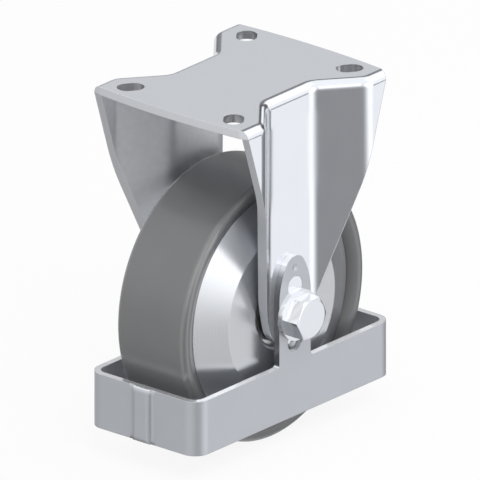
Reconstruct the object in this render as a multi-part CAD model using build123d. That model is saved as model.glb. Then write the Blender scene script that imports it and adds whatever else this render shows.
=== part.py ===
from build123d import *
import os
from math import acos, asin, atan2, cos, degrees, hypot, radians, sin, tan

# Fixed caster: a pressed steel bracket with a slotted top plate, a wheel on two ball
# bearings, and a foot guard clamped under the axle's washers.
# Millimetres. X is the rolling direction, -Y the side of the bolt's head, +Z up.
# The origin is the middle of the plate's top face.

# Whole caster
overall_height = 167.4

# Pressed bracket
sheet = 4.0
bend_inside = 0.3
plate_length = 101.4
plate_end_radius = 420.0
leg_top_inset = 3.3
leg_flat_width = 31.4
leg_flare = 16.0
leg_flare_angle = 39.3
flare_root_round = 8.0
flare_tip_round = 9.5
leg_end_radius = 15.2

# Fixing slots, each pointing at the plate's middle, and how far in from the plate's edges they are
slot_from_end = 10.7
slot_from_side = 15.0
slot_width = 9.2
slot_length = 12.4

# Wheel
wheel_diameter = 125.0
tread_width = 40.0
shoulder_round = 3.0
wall_round = 3.5
tyre_thickness = 9.4
wall_slope_in = 3.0
wall_slope_height = 5.4
seam_groove = 1.2
tyre_bond_depth = 3.0
bond_slope_in = 2.0
hub_width = 48.4
hub_face_diameter = 73.4
bore_chamfer = 0.8

# Ball bearings
bearing_outside = 35.0
bearing_bore = 15.0
bearing_width = 11.0
bearing_recess = 1.2
bearing_seat_lip = 2.0
ring_wall = 2.6
ring_edge_round = 0.5
ball_diameter = 5.95
ball_count = 8
ball_clearance = 0.05
cage_thickness = 1.8
cage_width = 6.8
cage_pocket_clearance = 0.08
seal_thickness = 0.8
seal_inset = 0.4
seal_running_gap = 0.3

# Axle
bolt_diameter = 12.0
bolt_hole_clearance = 0.5
across_flats = 18.0
head_height = 7.5
hexagon_turn = 1.5
chamfer_circle_share = 0.96
chamfer_drop = 0.6
washer_diameter = 24.0
washer_hole = 13.0
washer_thickness = 2.5
nut_height = 8.0
nut_collar_height = 4.0
nut_collar_wall = 2.4
lock_ring_wall = 1.2
lock_ring_inset = 0.5
bolt_end_length = 4.0
bolt_end_chamfer = 0.9
thread_root_diameter = 10.3
tube_bore_clearance = 0.2
spacer_diameter = 20.0
hub_gap = 0.8

# Foot guard
guard_sheet = 3.0
guard_corner_round = 7.5
guard_end_gap = 2.0
guard_drop = 23.1
guard_height = 26.0
tab_width = 21.6
tab_rise = 27.7
tab_straight_rise = 7.8
tab_tip_radius = 7.1
tab_root_round = 1.5
tab_hole_diameter = 10.0
tab_hole_pitch = 13.0
peg_clearance = 0.1
weld_width = 9.8
weld_rise = 1.5
weld_round = 1.1
punch_radius = 3.0
punch_depth = 0.5
punch_rise = 22.0

# How far cutting shapes run past what they cut
past = 1.0

# Places that follow from the sizes above
wheel_radius = wheel_diameter / 2
axle_z = wheel_radius - overall_height
bend_outside = bend_inside + sheet
half_fork = hub_width / 2 + hub_gap
half_leg = half_fork + sheet
half_plate = half_leg + leg_flare
leg_top_length = plate_length - 2 * leg_top_inset
slot_x = plate_length / 2 - slot_from_end
slot_y = half_plate - slot_from_side
half_guard = half_leg + guard_sheet
half_guard_length = wheel_radius + guard_end_gap + guard_sheet
bearing_face = hub_width / 2 - bearing_recess
bearing_middle = bearing_face - bearing_width / 2
bolt_radius = bolt_diameter / 2
clearance_hole_radius = bolt_radius + bolt_hole_clearance / 2
seat_y = half_guard + washer_thickness
seam_radius = wheel_radius - tyre_thickness
seam_y = tread_width / 2 - wall_slope_in
bond_radius = seam_radius - tyre_bond_depth
bond_y = seam_y - bond_slope_in
ball_radius = ball_diameter / 2
ball_circle = (bearing_outside + bearing_bore) / 4
SIDES = {"head_side": -1, "nut_side": 1}


def turned(points, rounds=()):
    """A body of revolution about local Z from (radius, z) points; rounds gives (point number, radius)."""
    outline = make_face(Polyline(*points, close=True))
    for number, radius in rounds:
        corner = Vector(*points[number])
        nearest = min(outline.vertices(), key=lambda v: (Vector(v) - corner).length)
        outline = fillet(nearest, radius)
    return revolve(Plane.XZ * outline, Axis.Z)


def ring(inside, outside, one_end, other_end):
    """A plain turned ring between two radii and two heights, given in either order."""
    low, high = sorted((one_end, other_end))
    return turned([(inside, low), (outside, low), (outside, high), (inside, high)])


def on_axle(piece):
    """Lays a piece that was made about local Z along the axle, local +Z becoming +Y."""
    return Pos(0, 0, axle_z) * Rot(-90, 0, 0) * piece


def across(one_y, other_y, outline):
    """An outline drawn in X and Z, given thickness from one Y to another."""
    low, high = sorted((one_y, other_y))
    return extrude(Plane.XZ.offset(-high) * outline, high - low)


def waist_outline(inset):
    """Plan of the bracket, narrow at the wheel and wide at the plate's ends, moved in by inset."""
    shift = inset * tan(radians(leg_flare_angle) / 2)
    root_x = leg_flat_width / 2 + shift
    tip_x = root_x + leg_flare / tan(radians(leg_flare_angle))
    end_x = plate_length / 2 + past
    low, high = half_leg - inset, half_plate - inset
    quarter = [(root_x, low), (tip_x, high), (end_x, high)]
    points = quarter + [(x, -y) for x, y in reversed(quarter)]
    points += [(-x, -y) for x, y in quarter] + [(-x, y) for x, y in reversed(quarter)]
    outline = make_face(Polyline(*points, close=True))
    roots = [v for v in outline.vertices() if abs(v.X) < (root_x + tip_x) / 2]
    outline = fillet(roots, flare_root_round + inset)
    middle_y = (low + high) / 2
    tips = [v for v in outline.vertices() if abs(v.X) < (tip_x + end_x) / 2 and abs(v.Y) > middle_y]
    return fillet(tips, max(flare_tip_round - inset, bend_inside))


def pressed_block(inset, top, bottom, edge_round):
    """The bracket's plan as a block whose top edges along the legs are rounded by the press."""
    block = Pos(0, 0, bottom) * extrude(waist_outline(inset), top - bottom)
    top_edges = block.faces().sort_by(Axis.Z)[-1].edges()
    long_edges = [e for e in top_edges if abs(e.center().X) < plate_length / 2]
    return fillet(long_edges, edge_round)


def leg_profile():
    """Side view of the bracket: the plate, then straight tapers to a round end about the axle."""
    end, half, top_z = plate_length / 2 + past, leg_top_length / 2, -sheet
    reach = hypot(half, top_z - axle_z)
    touch = atan2(half, top_z - axle_z) + acos(leg_end_radius / reach)
    touch_x = leg_end_radius * sin(touch)
    touch_z = axle_z + leg_end_radius * cos(touch)
    right = [(end, 0), (end, top_z), (half, top_z), (touch_x, touch_z)]
    left = [(-x, z) for x, z in right]
    edges = [Line(left[0], right[0])]
    for side in (left, right):
        edges += [Line(a, b) for a, b in zip(side, side[1:])]
    edges.append(ThreePointArc(right[-1], (0, axle_z - leg_end_radius), left[-1]))
    return make_face(edges)


def plate_ends():
    """Plan that trims the plate's ends to shallow arcs, then draws the corners in to the legs."""
    corner_y = half_plate - bend_outside
    fall = plate_end_radius - (plate_end_radius**2 - corner_y**2) ** 0.5
    corner_x = plate_length / 2 - fall
    draw_in = (corner_x - leg_top_length / 2) / bend_outside
    far_y = half_plate + past
    far_x = corner_x - draw_in * (far_y - corner_y)
    edges = []
    for s in (-1, 1):
        edges.append(ThreePointArc((s * corner_x, corner_y), (s * plate_length / 2, 0), (s * corner_x, -corner_y)))
        edges.append(Line((-far_x, s * far_y), (far_x, s * far_y)))
        edges += [Line((s * corner_x, t * corner_y), (s * far_x, t * far_y)) for t in (-1, 1)]
    return make_face(edges)


def fixing_slots():
    """Cutters for the plate's four slots."""
    turn = degrees(atan2(slot_y, slot_x))
    cutter = extrude(SlotOverall(slot_length, slot_width), sheet + past, both=True)
    return [
        Pos(sx * slot_x, sy * slot_y, 0) * Rot(0, 0, sx * sy * turn) * cutter
        for sx in (-1, 1) for sy in (-1, 1)
    ]


def locating_peg(side):
    """Peg pressed out of a leg, which fills the upper hole of the guard's tab."""
    outline = Pos(0, axle_z + tab_hole_pitch) * Circle(tab_hole_diameter / 2 - peg_clearance)
    return across(side * (half_leg - sheet / 2), side * half_guard, outline)


def bracket():
    """The pressing: a waisted plate with two flared legs, slotted, bored and with a peg on each leg."""
    bottom = axle_z - leg_end_radius - past
    far_y = half_plate + past
    outside = pressed_block(0, 0, bottom, bend_outside)
    inside = pressed_block(sheet, -sheet, bottom - past, bend_inside)
    body = (outside - inside) & across(-far_y, far_y, leg_profile())
    body = body & (Pos(0, 0, bottom) * extrude(plate_ends(), past - bottom))
    body -= fixing_slots()
    for side in SIDES.values():
        body += locating_peg(side)
    return body - on_axle(Cylinder(clearance_hole_radius, far_y * 2))


def tab_outline():
    """Side view of one guard tab: straight sides, then two long arcs to a small round tip."""
    half = tab_width / 2
    foot = axle_z - guard_drop - guard_sheet
    straight_top = axle_z + tab_straight_rise
    climb = tab_rise - tab_tip_radius - tab_straight_rise
    side_radius = (half**2 + climb**2 - tab_tip_radius**2) / (tab_width - 2 * tab_tip_radius)
    lean = asin(climb / (side_radius - tab_tip_radius))

    def on_side(angle):
        return half - side_radius * (1 - cos(angle)), straight_top + side_radius * sin(angle)

    edges = [Line((-half, foot), (half, foot))]
    for s in (-1, 1):
        arc = [(s * x, z) for x, z in (on_side(0), on_side(lean / 2), on_side(lean))]
        edges += [Line((s * half, foot), arc[0]), ThreePointArc(*arc)]
    join_x, join_z = on_side(lean)
    edges.append(ThreePointArc((join_x, join_z), (0, axle_z + tab_rise), (-join_x, join_z)))
    outline = make_face(edges)
    for rise in (-tab_hole_pitch, tab_hole_pitch):
        outline -= Pos(0, axle_z + rise) * Circle(tab_hole_diameter / 2)
    return outline - Pos(0, axle_z) * Circle(clearance_hole_radius)


def weld_bead():
    """Flat raised weld where the band's two ends meet, rounded at its edges and rooted in the band."""
    depth = weld_rise + guard_sheet / 2
    bead = Pos(guard_sheet / 4 - weld_rise / 2 - half_guard_length, 0, guard_height / 2)
    bead = bead * Box(depth, weld_width, guard_height)
    return fillet(bead.faces().sort_by(Axis.X)[0].edges(), weld_round)


def foot_guard():
    """Sheet band round the foot of the wheel, with a drilled and punched tab up each leg."""
    top = axle_z - guard_drop
    outside = RectangleRounded(half_guard_length * 2, half_guard * 2, guard_corner_round)
    inside_length = (half_guard_length - guard_sheet) * 2
    inside = RectangleRounded(inside_length, half_leg * 2, guard_corner_round - guard_sheet)
    guard = Pos(0, 0, top - guard_height) * (extrude(outside - inside, guard_height) + weld_bead())
    punch_y = half_guard + punch_radius - punch_depth
    for side in SIDES.values():
        guard += across(side * half_leg, side * half_guard, tab_outline())
        guard -= Pos(0, side * punch_y, axle_z + punch_rise) * Sphere(punch_radius)
    roots = [
        e for e in guard.edges().filter_by(Axis.Y)
        if abs(abs(e.center().X) - tab_width / 2) < 0.01 and abs(e.center().Z - top) < 0.01
    ]
    return fillet(roots, tab_root_round)


def hexagon_block(height, both_ends):
    """A hexagon prism from z = 0 up, its corners turned off at the bottom, or at both ends."""
    corner = across_flats / 2 / cos(radians(30))
    circle = across_flats / 2 * chamfer_circle_share
    spread = corner + past
    drop = chamfer_drop * (spread - circle) / (corner - circle)
    points = [(0, 0), (circle, 0), (spread, drop)]
    points += [(spread, height - drop), (circle, height)] if both_ends else [(spread, height)]
    block = extrude(RegularPolygon(corner, 6), height)
    return Rot(0, 0, hexagon_turn) * (block & turned(points + [(0, height)]))


def axle_bolt():
    """Hexagon bolt, its end past the nut drawn at the bottom of the thread."""
    nut_top = seat_y + nut_height + nut_collar_height
    end = nut_top + bolt_end_length
    root = thread_root_diameter / 2
    shank = turned([
        (0, -seat_y), (bolt_radius, -seat_y), (bolt_radius, nut_top), (root, nut_top),
        (root, end - bolt_end_chamfer), (root - bolt_end_chamfer, end), (0, end),
    ])
    return on_axle(shank + Pos(0, 0, -seat_y - head_height) * hexagon_block(head_height, False))


def axle_nut():
    """Hexagon nut with a round collar that holds the lock ring."""
    collar = bolt_radius + lock_ring_wall + nut_collar_wall
    top = nut_height + nut_collar_height
    body = hexagon_block(nut_height, True) + ring(0, collar, nut_height - chamfer_drop, top)
    body -= ring(0, bolt_radius, -past, top + past)
    body -= ring(0, bolt_radius + lock_ring_wall, nut_height, top + past)
    return on_axle(Pos(0, 0, seat_y) * body)


def nut_lock_ring():
    low = seat_y + nut_height
    return on_axle(ring(bolt_radius, bolt_radius + lock_ring_wall, low, low + nut_collar_height - lock_ring_inset))


def washer(side):
    return on_axle(ring(washer_hole / 2, washer_diameter / 2, side * half_guard, side * seat_y))


def axle_tube():
    return on_axle(ring(bolt_radius + tube_bore_clearance, bearing_bore / 2, -half_fork, half_fork))


def spacer(side):
    return on_axle(ring(bearing_bore / 2, spacer_diameter / 2, side * bearing_face, side * half_fork))


def wheel_centre():
    """Turned centre: bearing seats inside, flat hub faces, cones out to the tyre, and the tyre's seat."""
    seat = bearing_outside / 2
    lip = seat - bearing_seat_lip
    shoulder = bearing_face - bearing_width
    face = hub_width / 2
    half = [
        (lip, shoulder), (seat, shoulder), (seat, face - bore_chamfer), (seat + bore_chamfer, face),
        (hub_face_diameter / 2, face), (seam_radius, seam_y), (bond_radius, bond_y),
    ]
    return on_axle(turned(half + [(r, -z) for r, z in reversed(half)]))


def tyre():
    """Solid tyre bonded on the centre, with sloped walls, rounded shoulders and a groove at the seam."""
    half_width = tread_width / 2
    wall_radius = seam_radius + wall_slope_height
    inward = seam_groove / hypot(tyre_bond_depth, bond_slope_in)
    outward = seam_groove / hypot(wall_slope_height, wall_slope_in)
    half = [
        (bond_radius, bond_y),
        (seam_radius - tyre_bond_depth * inward, seam_y - bond_slope_in * inward),
        (seam_radius + wall_slope_height * outward, seam_y + wall_slope_in * outward),
        (wall_radius, half_width),
        (wheel_radius, half_width),
    ]
    points = half + [(r, -z) for r, z in reversed(half)]
    rounds = [(4, shoulder_round), (5, shoulder_round), (3, wall_round), (6, wall_round)]
    return on_axle(turned(points, rounds))


def race_groove():
    """The torus that the balls run in, as a cutter."""
    return Torus(ball_circle, ball_radius + ball_clearance)


def outer_ring(side):
    outside = bearing_outside / 2
    body = ring(outside - ring_wall, outside, -bearing_width / 2, bearing_width / 2)
    body = fillet(body.edges().filter_by(GeomType.CIRCLE).sort_by(SortBy.RADIUS)[-2:], ring_edge_round)
    return on_axle(Pos(0, 0, side * bearing_middle) * (body - race_groove()))


def inner_ring(side):
    inside = bearing_bore / 2
    body = ring(inside, inside + ring_wall, -bearing_width / 2, bearing_width / 2)
    return on_axle(Pos(0, 0, side * bearing_middle) * (body - race_groove()))


def round_the_race(piece):
    """One copy of a piece at each ball's place, half a step off the horizontal."""
    step = 360 / ball_count
    return [Rot(0, 0, step * (n + 0.5)) * Pos(ball_circle, 0, 0) * piece for n in range(ball_count)]


def balls(side):
    placed = round_the_race(Sphere(ball_radius))
    return on_axle(Pos(0, 0, side * bearing_middle) * Compound(children=placed))


def cage(side):
    """Ring between the races with a round pocket for each ball."""
    half = cage_thickness / 2
    body = ring(ball_circle - half, ball_circle + half, -cage_width / 2, cage_width / 2)
    pocket = Rot(0, 90, 0) * Cylinder(ball_radius + cage_pocket_clearance, cage_thickness * 2)
    body -= round_the_race(pocket)
    return on_axle(Pos(0, 0, side * bearing_middle) * body)


def seal(side, end):
    """Thin rubber ring seated in the outer ring, clear of the inner one."""
    inside = bearing_bore / 2 + ring_wall + seal_running_gap
    outside = bearing_outside / 2 - ring_wall
    face = bearing_width / 2 - seal_inset
    flat_ring = ring(inside, outside, end * (face - seal_thickness), end * face)
    return on_axle(Pos(0, 0, side * bearing_middle) * flat_ring)


def all_pieces():
    pieces = {
        "bracket": bracket(),
        "foot_guard": foot_guard(),
        "axle_bolt": axle_bolt(),
        "axle_nut": axle_nut(),
        "nut_lock_ring": nut_lock_ring(),
        "axle_tube": axle_tube(),
        "wheel_centre": wheel_centre(),
        "tyre": tyre(),
    }
    for name, side in SIDES.items():
        pieces[f"washer_{name}"] = washer(side)
        pieces[f"spacer_{name}"] = spacer(side)
        pieces[f"outer_ring_{name}"] = outer_ring(side)
        pieces[f"inner_ring_{name}"] = inner_ring(side)
        pieces[f"balls_{name}"] = balls(side)
        pieces[f"cage_{name}"] = cage(side)
        pieces[f"outside_seal_{name}"] = seal(side, side)
        pieces[f"inside_seal_{name}"] = seal(side, -side)
    return pieces


os.makedirs("parts", exist_ok=True)
for piece_name, piece in all_pieces().items():
    export_step(piece, f"parts/{piece_name}.step")
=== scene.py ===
import math

import bpy
from mathutils import Matrix, Vector


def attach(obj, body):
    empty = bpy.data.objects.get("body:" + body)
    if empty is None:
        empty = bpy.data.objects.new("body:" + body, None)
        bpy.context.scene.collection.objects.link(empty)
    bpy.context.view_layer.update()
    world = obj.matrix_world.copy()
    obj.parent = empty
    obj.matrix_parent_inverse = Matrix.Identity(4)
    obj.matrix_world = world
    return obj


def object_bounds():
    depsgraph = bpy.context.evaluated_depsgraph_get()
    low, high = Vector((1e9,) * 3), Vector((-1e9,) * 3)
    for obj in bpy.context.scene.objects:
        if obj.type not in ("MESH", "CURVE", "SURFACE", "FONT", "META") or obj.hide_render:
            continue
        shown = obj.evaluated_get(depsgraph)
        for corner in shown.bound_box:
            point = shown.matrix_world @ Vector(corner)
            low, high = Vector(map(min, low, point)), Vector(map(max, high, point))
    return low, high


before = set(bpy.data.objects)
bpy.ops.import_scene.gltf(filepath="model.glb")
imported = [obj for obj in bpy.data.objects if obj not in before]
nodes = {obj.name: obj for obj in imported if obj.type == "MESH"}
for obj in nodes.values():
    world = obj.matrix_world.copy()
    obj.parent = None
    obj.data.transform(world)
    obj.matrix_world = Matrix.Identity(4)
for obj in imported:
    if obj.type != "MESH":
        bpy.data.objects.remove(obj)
cad_low, cad_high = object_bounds()
scene = bpy.context.scene
scene.view_settings.view_transform = "Standard"
scene.cycles.max_bounces = 16
scene.cycles.glossy_bounces = 12

# Camera
# The photograph looks down on the bolt's side and on the guard's welded end, from so far
# off that parallel edges stay parallel.
axle = Vector((0, 0, -0.1049))
right = Vector((0.64518, -0.76404, 0.0))
up = Vector((0.28507, 0.24072, 0.92779))
toward = Vector((-0.70887, -0.59859, 0.37311))
picture_width = 0.21371
above_axle = 0.025
left_of_axle = 0.00008
distance = 1.5

lens = bpy.data.cameras.new("camera")
lens.type = "ORTHO"
lens.ortho_scale = picture_width
lens.clip_end = 10
camera = bpy.data.objects.new("camera", lens)
aim = axle + up * above_axle - right * left_of_axle
turn = Matrix((right, up, toward)).transposed().to_4x4()
camera.matrix_world = Matrix.Translation(aim + toward * distance) @ turn
scene.collection.objects.link(camera)
scene.camera = camera


# Studio
# A pale floor in a soft surround, brightest beside the bolt and overhead, with dark flags
# that draw the folds, as panels stand round a metal part that has to look bright.
class Wire:
    """An output of a shader node; arithmetic on it adds Math nodes."""

    def __init__(self, graph, socket):
        self.graph = graph
        self.socket = socket

    def __add__(self, other):
        return self.graph.maths("ADD", self, other)

    def __sub__(self, other):
        return self.graph.maths("SUBTRACT", self, other)

    def __rsub__(self, other):
        return self.graph.maths("SUBTRACT", other, self)

    def __mul__(self, other):
        return self.graph.maths("MULTIPLY", self, other)

    def __pow__(self, other):
        return self.graph.maths("POWER", self, other)

    def __abs__(self):
        return self.graph.maths("ABSOLUTE", self)

    __radd__ = __add__
    __rmul__ = __mul__

    def step(self, start, end, first=0.0, last=1.0):
        """Eases from the first value to the last as this wire goes from start to end."""
        ends = {"From Min": start, "From Max": end, "To Min": first, "To Max": last}
        eased = {"interpolation_type": "SMOOTHSTEP"}
        return self.graph.add("ShaderNodeMapRange", eased, {"Value": self, **ends})

    def dot(self, direction):
        product = {"operation": "DOT_PRODUCT"}
        return self.graph.add("ShaderNodeVectorMath", product, {0: self, 1: direction}, "Value")

    def beside(self, *names):
        """Other outputs of the node that this wire leaves."""
        return [Wire(self.graph, self.socket.node.outputs[name]) for name in names]

    def parts(self):
        """The X, Y and Z of a vector."""
        return self.graph.add("ShaderNodeSeparateXYZ", {}, {0: self}).beside("X", "Y", "Z")


class Graph:
    """The nodes of one material or of the world."""

    def __init__(self, owner):
        owner.use_nodes = True
        self.tree = owner.node_tree
        self.tree.nodes.clear()

    def add(self, kind, settings=None, sockets=None, output=0):
        """Adds a node, then its settings, then the values or links of its sockets."""
        node = self.tree.nodes.new(kind)
        for name, value in (settings or {}).items():
            setattr(node, name, value)
        for name, value in (sockets or {}).items():
            if isinstance(value, Wire):
                self.tree.links.new(value.socket, node.inputs[name])
            else:
                node.inputs[name].default_value = value
        return Wire(self, node.outputs[output]) if len(node.outputs) else None

    def maths(self, operation, *values):
        return self.add("ShaderNodeMath", {"operation": operation}, dict(enumerate(values)))

    def mix(self, factor, first, second):
        """Two colours mixed; the first shows where the factor is 0."""
        return self.add("ShaderNodeMix", {"data_type": "RGBA"}, {0: factor, 6: first, 7: second}, 2)

    def noise(self, place, scale, detail=2.0):
        sockets = {"Vector": place, "Scale": scale, "Detail": detail}
        return self.add("ShaderNodeTexNoise", {}, sockets)


def grey(level, blue=0.0):
    """A grey, tinted towards blue by that share of its level."""
    return (level, level * (1 + blue / 3), level * (1 + blue), 1.0)


# Each panel or flag lies over those before it: the direction it hangs in, the angles from
# there at which it has faded out and starts to fade, in degrees, and its level.
surround = [
    # the dimmer lower half, and a broad panel overhead
    ((0.0, 0.0, -1.0), 90, 10, 0.62),
    ((0.0, 0.0, 1.0), 80, 35, 1.04),
    # bright panels beside the bolt, for the leg's flat face, its rolled edges and the guard
    ((0.72, -0.58, -0.30), 40, 20, 0.94),
    ((0.30, -0.94, -0.14), 38, 12, 1.25),
    ((0.14, -0.975, 0.17), 30, 6, 2.00),
    ((0.72, -0.35, 0.58), 38, 18, 1.25),
    # panels above the guard's weld, for upturned bends and the disc's bright streak
    ((-0.68, -0.60, 0.43), 32, 14, 1.55),
    ((-0.60, 0.50, 0.60), 55, 20, 1.06),
    # a dark flag on the nut side, with the greyer patch that the top plate mirrors
    ((0.75, 0.49, 0.454), 27, 18, 0.13),
    ((0.709, 0.599, 0.373), 11, 6, 0.61),
    # dark flags low on the bolt's side, for a thin line in the bends and for slanted faces
    ((0.715, -0.656, -0.242), 7, 2, 0.25),
    ((-0.466, -0.80, -0.373), 52, 4, 0.19),
    # greyer panels low on the nut side, for the guard's welded end and the tread
    ((-0.70, 0.60, -0.38), 34, 14, 0.64),
    ((-0.10, 0.63, -0.77), 44, 14, 0.28),
    # dark flags ahead of the wheel and one bright strip, for the bands of the turned disc
    ((0.93, 0.25, -0.24), 32, 14, 0.20),
    ((0.896, -0.24, -0.375), 21, 13, 0.20),
    ((0.962, -0.084, 0.259), 19, 12, 0.08),
    ((0.885, 0.37, 0.27), 10, 6, 0.06),
    ((0.935, 0.32, 0.14), 8, 4, 1.60),
    ((0.510, 0.849, 0.139), 14, 7, 0.16),
]
between_panels = 0.80
soft_light = 0.72

world = bpy.data.worlds.new("studio")
scene.world = world
sky = Graph(world)
place = sky.add("ShaderNodeTexCoord", output="Generated")
mirrored = between_panels
for direction, faded_out, full, level in surround:
    away = sky.maths("ARCCOSINE", place.dot(Vector(direction).normalized()))
    reach = away.step(math.radians(full), math.radians(faded_out), 1.0, 0.0)
    mirrored = reach * level + (1 - reach) * mirrored
camera_ray = sky.add("ShaderNodeLightPath", output="Is Camera Ray")
glossy_ray, through_ray = camera_ray.beside("Is Glossy Ray", "Is Transmission Ray")
white = sky.maths("MAXIMUM", camera_ray, through_ray)
lit = glossy_ray * mirrored + (1 - glossy_ray) * soft_light
strength = white + (1 - white) * lit
backdrop = sky.add("ShaderNodeBackground", {}, {"Color": grey(1.0, 0.01), "Strength": strength})
sky.add("ShaderNodeOutputWorld", {}, {"Surface": backdrop})

# The floor turns almost white for the camera and keeps a trace of the shadow. Metal doesn't
# mirror it, because the surround's lower half stands for it there.
half_floor = 6.0
floor_tone = 0.88
whitened = 0.90
floor_mesh = bpy.data.meshes.new("floor")
square = (-1, -1), (1, -1), (1, 1), (-1, 1)
corners = [(x * half_floor, y * half_floor, cad_low[2]) for x, y in square]
floor_mesh.from_pydata(corners, [], [(0, 1, 2, 3)])
floor = bpy.data.objects.new("floor", floor_mesh)
scene.collection.objects.link(floor)
floor.visible_glossy = False
paint = bpy.data.materials.new("pale_floor")
floor_mesh.materials.append(paint)
ground = Graph(paint)
seen = ground.add("ShaderNodeLightPath", output="Is Camera Ray")
matt = ground.add("ShaderNodeBsdfDiffuse", {}, {"Color": grey(floor_tone)})
glow = ground.add("ShaderNodeEmission", {}, {"Color": grey(1.0), "Strength": 1.0})
surface = ground.add("ShaderNodeMixShader", {}, {0: seen * whitened, 1: matt, 2: glow})
ground.add("ShaderNodeOutputMaterial", {}, {"Surface": surface})

lamps = [
    ("soft_key", (-0.5, -0.9, 1.1), 0.9, 9),
    ("soft_fill", (1.0, -0.6, 0.5), 0.8, 3),
]
for name, spot, size, watts in lamps:
    lamp = bpy.data.lights.new(name, "AREA")
    lamp.size = size
    lamp.energy = watts
    holder = bpy.data.objects.new(name, lamp)
    facing = (Vector(spot) - axle).to_track_quat("Z", "Y")
    holder.matrix_world = Matrix.Translation(spot) @ facing.to_matrix().to_4x4()
    holder.visible_glossy = False
    scene.collection.objects.link(holder)


# Bracket
# One 4 mm steel pressing, zinc plated bright: the rolled faces mirror softly, the sheared
# edges are duller and the faces towards the wheel are scuffed. The slot walls and the step beside
# each leg's flat face carry painted shade. It bolts up by its slots.
def blank(name):
    """A new material and its empty graph."""
    material = bpy.data.materials.new(name)
    return material, Graph(material)


def dress(graph, colour, metallic, roughness, normal, **extra):
    """Closes a material's graph with its shader."""
    sockets = {"Base Color": colour, "Metallic": metallic, "Roughness": roughness, "Normal": normal}
    shader = graph.add("ShaderNodeBsdfPrincipled", {}, {**sockets, **extra})
    graph.add("ShaderNodeOutputMaterial", {}, {"Surface": shader})


def put_on(material, *names):
    """Covers whole CAD nodes with one material."""
    for name in names:
        mesh = nodes[name].data
        mesh.materials.clear()
        mesh.materials.append(material)
        for face in mesh.polygons:
            face.material_index = 0


def facing_parts(graph):
    """How far a surface faces along X, Y and Z."""
    return graph.add("ShaderNodeTexCoord", output="Normal").parts()


def soften(graph, radius, samples=4):
    """A normal that rounds edges off by that radius."""
    return graph.add("ShaderNodeBevel", {"samples": samples}, {"Radius": radius})


def relief(graph, strength, depth, height, **under):
    """A normal with that height's bumps, laid over the normal that under gives."""
    sockets = {"Strength": strength, "Distance": depth, "Height": height, **under}
    return graph.add("ShaderNodeBump", {}, sockets)


def zinc(graph, bright, blue, roughness, edge_round):
    """Place, colour, roughness and normal of zinc plate, with the bath's faint cloud and bloom."""
    spot = graph.add("ShaderNodeTexCoord", output="Object")
    cloud = graph.noise(spot, scale=55.0, detail=3.0)
    bloom = graph.noise(spot, scale=1900.0)
    colour = graph.mix(cloud, grey(bright * 0.97, blue), grey(bright * 1.03, blue))
    rough = roughness + (cloud - 0.5) * 0.06 + (bloom - 0.5) * 0.04
    normal = relief(graph, 0.012, 0.0002, bloom, Normal=soften(graph, edge_round))
    return spot, colour, rough, normal


# places in metres, each with the place where its mask has faded out
slot_x, slot_y = 0.040, 0.030
slot_reach, slot_fade = 0.0075, 0.0080
step_shade_x, step_shade_fade_x = -0.012, -0.008
bend_x, bend_fade_x = 0.024, 0.030
bend_top, bend_top_fade = -0.015, -0.011
bend_foot, bend_foot_fade = -0.044, -0.058
bend_round = 0.006
scuff_dark, scuff_pale = grey(0.74, 0.05), grey(0.86, 0.05)
sheared_tone, slot_wall_shade_tone, step_shade_tone = grey(0.80, 0.06), grey(0.44, 0.05), grey(0.54, 0.06)

pressed, graph = blank("pressed_zinc")
spot, colour, rough, normal = zinc(graph, bright=0.84, blue=0.09, roughness=0.11, edge_round=0.0004)
nx, ny, nz = facing_parts(graph)
x, y, z = spot.parts()

# the sheet's cut edges, the walls of the slots, which are painted dark as the shade inside
# them, and the faces towards the wheel; a surface that faces straight along an axis has 1 or -1
# there
sheared = abs(nx).step(0.80, 0.90)
from_slot_x = abs(x) - slot_x
from_slot_y = abs(y) - slot_y
from_slot = from_slot_x * from_slot_x + from_slot_y * from_slot_y
# painted shade on the slot walls, inside the slots
slot_wall_shade = from_slot.step(slot_fade ** 2, slot_reach ** 2) * (1 - abs(nz).step(0.2, 0.4))
inward = (ny * y).step(-0.003, -0.012)
scuffs = graph.noise(spot, scale=320.0, detail=4.0)
colour = graph.mix(inward, colour, graph.mix(scuffs, scuff_dark, scuff_pale))
colour = graph.mix(sheared, colour, sheared_tone)
colour = graph.mix(slot_wall_shade, colour, slot_wall_shade_tone)
rough = rough + sheared * 0.24 + inward * 0.34

# painted shade on the step down each leg beside its flat face, on faces turned towards +X
outside = (1 - sheared) * (1 - inward)
step_shade = nx.step(0.10, 0.25) * x.step(step_shade_fade_x, step_shade_x) * outside
colour = graph.mix(step_shade, colour, step_shade_tone)

# the bends between a leg's flat face and its slanted ones, which the press leaves soft
high = z.step(bend_top_fade, bend_top)
low = z.step(bend_foot_fade, bend_foot)
at_bend = abs(x).step(bend_fade_x, bend_x) * high * low * outside
normal = graph.mix(at_bend, normal, soften(graph, bend_round, samples=12))
dress(graph, colour, metallic=0.86, roughness=rough, normal=normal)
put_on(pressed, "bracket")


# Foot guard
# A 3 mm strip bent into a loop round the foot of the wheel and joined by one weld at its
# end. Its tabs stand up outside the legs, and the axle bolt clamps them. Satin zinc.
tab_end_x, tab_fade_x = 0.054, 0.056
weld_x, weld_fade_x = -0.0674, -0.0668
weld_half, weld_fade = 0.0065, 0.0080
weld_round = 0.0032
cut_tone, tab_side_shade_tone, tab_top_highlight_tone = grey(0.86, 0.05), grey(0.22, 0.05), grey(0.96, 0.03)

satin, graph = blank("satin_zinc")
spot, colour, rough, normal = zinc(graph, bright=0.55, blue=0.10, roughness=0.46, edge_round=0.0005)
nx, ny, nz = facing_parts(graph)
x, y, _ = spot.parts()

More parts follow.
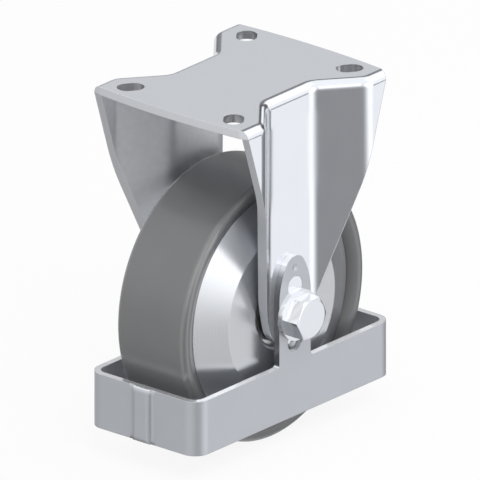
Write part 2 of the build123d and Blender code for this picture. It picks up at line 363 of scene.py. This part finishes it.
# the strip's cut edges are bright; painted shade darkens the tabs' side edges and a painted
# highlight brightens their upturned edges
tab_edge = (1 - abs(ny).step(0.2, 0.4)) * (1 - abs(x).step(tab_end_x, tab_fade_x))
cut = graph.maths("MAXIMUM", tab_edge, abs(nz).step(0.7, 0.8))
colour = graph.mix(cut, colour, cut_tone)
tab_side_shade = tab_edge * abs(nx).step(0.74, 0.84)
colour = graph.mix(tab_side_shade, colour, tab_side_shade_tone)
tab_top_highlight = tab_edge * nz.step(0.35, 0.60)
colour = graph.mix(tab_top_highlight, colour, tab_top_highlight_tone)

# the weld's bead is smoother than the strip and rounds into it
on_bead = x.step(weld_fade_x, weld_x) * abs(y).step(weld_fade, weld_half)
normal = graph.mix(on_bead, normal, soften(graph, weld_round, samples=12))
rough = rough - cut * 0.32 - on_bead * 0.14
# the painted highlight on the tabs' upturned edges is also made less metallic, so it shows pale
dress(graph, colour, metallic=0.76 - tab_top_highlight * 0.42, roughness=rough, normal=normal)
put_on(satin, "foot_guard")


# Axle bolt, nut and washers
# Bright plated M12 fastenings: a hexagon bolt through legs and tabs, with washers and a lock
# nut. Their upper flats carry a painted highlight and their lower flats painted shade, and a white
# ring in the nut grips the bolt.
upper_flat_highlight_tone, lower_flat_shade_tone = grey(0.97, 0.02), grey(0.52, 0.06)

bright, graph = blank("fastener_zinc")
_, colour, rough, normal = zinc(graph, bright=0.79, blue=0.08, roughness=0.09, edge_round=0.0003)
_, ny, nz = facing_parts(graph)
# painted light: flats facing up are painted pale and less metallic, flats facing down are painted
# dark
flat = 1 - abs(ny).step(0.15, 0.35)
upper_flat_highlight = flat * nz.step(0.10, 0.30)
lower_flat_shade = flat * nz.step(-0.10, -0.30)
colour = graph.mix(upper_flat_highlight, colour, upper_flat_highlight_tone)
colour = graph.mix(lower_flat_shade, colour, lower_flat_shade_tone)
dress(graph, colour, metallic=0.92 - upper_flat_highlight * 0.45, roughness=rough, normal=normal)
put_on(bright, "axle_bolt", "axle_nut", "washer_head_side", "washer_nut_side")

# The thread's ridge winds round the bolt's end past the nut and runs out at its tip. Each
# step round it has four points, from the ridge's foot over its crest to the other foot.
pitch = 0.00175
crest = 0.00596
root = 0.00515
sunk = 0.00006
half_foot = 0.00076
half_crest = 0.00012
first_y = 0.0457
last_y = 0.0495
run_out = 0.7
least_grown = 0.04
per_turn = 72
turns = (last_y - first_y) / pitch
count = round(turns * per_turn)
points = []
faces = []
for number in range(count + 1):
    turns_left = turns - number / per_turn
    grown = max(min(turns_left / run_out, 1.0), least_grown)
    angle = 2 * math.pi * number / per_turn
    middle = first_y + pitch * number / per_turn
    foot = root - sunk
    top = root + (crest - root) * grown
    profile = (foot, -half_foot), (top, -half_crest), (top, half_crest), (foot, half_foot)
    for radius, shift in profile:
        across, rise = radius * math.sin(angle), radius * math.cos(angle)
        points.append((across, middle + shift * grown, axle.z + rise))
    if number:
        here = 4 * number
        back = here - 4
        faces += [(here + i, here + (i + 1) % 4, back + (i + 1) % 4, back + i) for i in range(4)]
faces += [(0, 1, 2, 3), tuple(4 * count + 3 - i for i in range(4))]
ridge = bpy.data.meshes.new("bolt_end_thread")
ridge.from_pydata(points, [], faces)
for face in ridge.polygons:
    face.use_smooth = True
for edge in ridge.edges:
    one, other = edge.vertices
    along_ridge = one % 4 == other % 4
    at_end = one // 4 == other // 4 and one // 4 in (0, count)
    edge.use_edge_sharp = along_ridge or at_end
ridge.materials.append(bright)
thread = bpy.data.objects.new("bolt_end_thread", ridge)
scene.collection.objects.link(thread)
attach(thread, "bracket")

moulded, graph = blank("white_ring")
grain = graph.noise(graph.add("ShaderNodeTexCoord", output="Object"), scale=900.0)
colour = graph.mix(grain, grey(0.72), grey(0.80))
pimples = relief(graph, 0.1, 0.0001, grain)
dress(graph, colour, metallic=0.0, roughness=0.45 + grain * 0.1, normal=pimples)
put_on(moulded, "nut_lock_ring")


# Wheel centre
# A turned aluminium disc with flat hub faces and shallow cones out to the tyre. The
# lathe leaves fine rings round the axle.
def about_axle(graph):
    """A point's place, its distance from the axle's line and its place along it, in metres."""
    spot = graph.add("ShaderNodeTexCoord", output="Object")
    x, y, z = spot.parts()
    drop = z - axle.z
    return spot, (x * x + drop * drop) ** 0.5, y


def turned(name, bright, blue, metallic, roughness, feed, cut):
    """Lathe-turned metal: the tool's feed is the space between rings, and cut is their strength."""
    material, graph = blank(name)
    spot, radius, along = about_axle(graph)
    wobble = graph.noise(spot, scale=260.0)
    phase = (radius + along) * (2 * math.pi / feed) + wobble * 1.5
    cloud = graph.noise(spot, scale=48.0, detail=3.0)
    colour = graph.mix(cloud, grey(bright * 0.96, blue), grey(bright * 1.04, blue))
    rings = relief(graph, cut, 0.00005, graph.maths("SINE", phase), Normal=soften(graph, 0.0004))
    dress(graph, colour, metallic, roughness + cloud * 0.06, rings)
    return material


aluminium = turned(
    "turned_aluminium", bright=0.64, blue=0.06, metallic=0.90, roughness=0.22, feed=0.0009, cut=0.08
)
put_on(aluminium, "wheel_centre")


# Bearings, tube and spacers
# Two ground ball bearings on a turned steel tube, held off the legs by plain rings. Black
# rubber seals close the bearings on both faces.
def both(*pieces):
    """The names of pieces that the head side and the nut side have alike."""
    return [f"{piece}_{side}" for piece in pieces for side in ("head_side", "nut_side")]


plain_steel = turned(
    "turned_steel", bright=0.62, blue=0.02, metallic=0.90, roughness=0.25, feed=0.0005, cut=0.15
)
put_on(plain_steel, "axle_tube", *both("spacer"))
ground_steel = turned(
    "ground_steel", bright=0.72, blue=0.02, metallic=0.95, roughness=0.14, feed=0.0003, cut=0.06
)
put_on(ground_steel, *both("outer_ring", "inner_ring", "balls"))
cage_steel = turned(
    "pressed_cage", bright=0.52, blue=-0.02, metallic=0.90, roughness=0.30, feed=0.0009, cut=0.10
)
put_on(cage_steel, *both("cage"))

rubber, graph = blank("seal_rubber")
grain = graph.noise(graph.add("ShaderNodeTexCoord", output="Object"), scale=1400.0)
colour = graph.mix(grain, grey(0.030), grey(0.050))
pimples = relief(graph, 0.2, 0.0001, grain)
dress(graph, colour, metallic=0.0, roughness=0.50 + grain * 0.12, normal=pimples)
put_on(rubber, *both("outside_seal", "inside_seal"))


# Tyre
# Grey solid rubber, bonded on the centre and turned true: a smooth tread with polished
# shoulders, walls with painted shade that deepens inwards and a black line where it meets the
# centre.
seam_edge, seam_fade = 0.0530, 0.0534
wall_foot, wall_top = 0.0532, 0.0585
shoulder_foot, shoulder_top = 0.0600, 0.0610
shoulder_inner, shoulder_outer = 0.0170, 0.0180
tread_dark, tread_pale = grey(0.135, 0.03), grey(0.165, 0.03)
wall_shade_tone, seam_tone = grey(0.085, 0.03), grey(0.004)

tread, graph = blank("grey_tyre")
spot, radius, along = about_axle(graph)
cloud = graph.noise(spot, scale=40.0, detail=4.0)
speck = graph.noise(spot, scale=1500.0, detail=3.0)
colour = graph.mix(cloud, tread_dark, tread_pale)
# painted shade on the walls, deepening towards the centre
colour = graph.mix(radius.step(wall_foot, wall_top), wall_shade_tone, colour)
seam = radius.step(seam_fade, seam_edge)
colour = graph.mix(seam, colour, seam_tone)
near_edge = abs(along).step(shoulder_inner, shoulder_outer)
shoulder = radius.step(shoulder_foot, shoulder_top) * near_edge
rough = 0.30 + (cloud - 0.5) * 0.10 + speck * 0.04 - shoulder * 0.08
pimples = relief(graph, 0.08, 0.0001, speck)
polish = {"Coat Weight": shoulder * 0.55, "Coat Roughness": 0.20, "Coat IOR": 1.9}
dress(graph, colour, metallic=seam, roughness=rough, normal=pimples, IOR=1.75, **polish)
put_on(tread, "tyre")
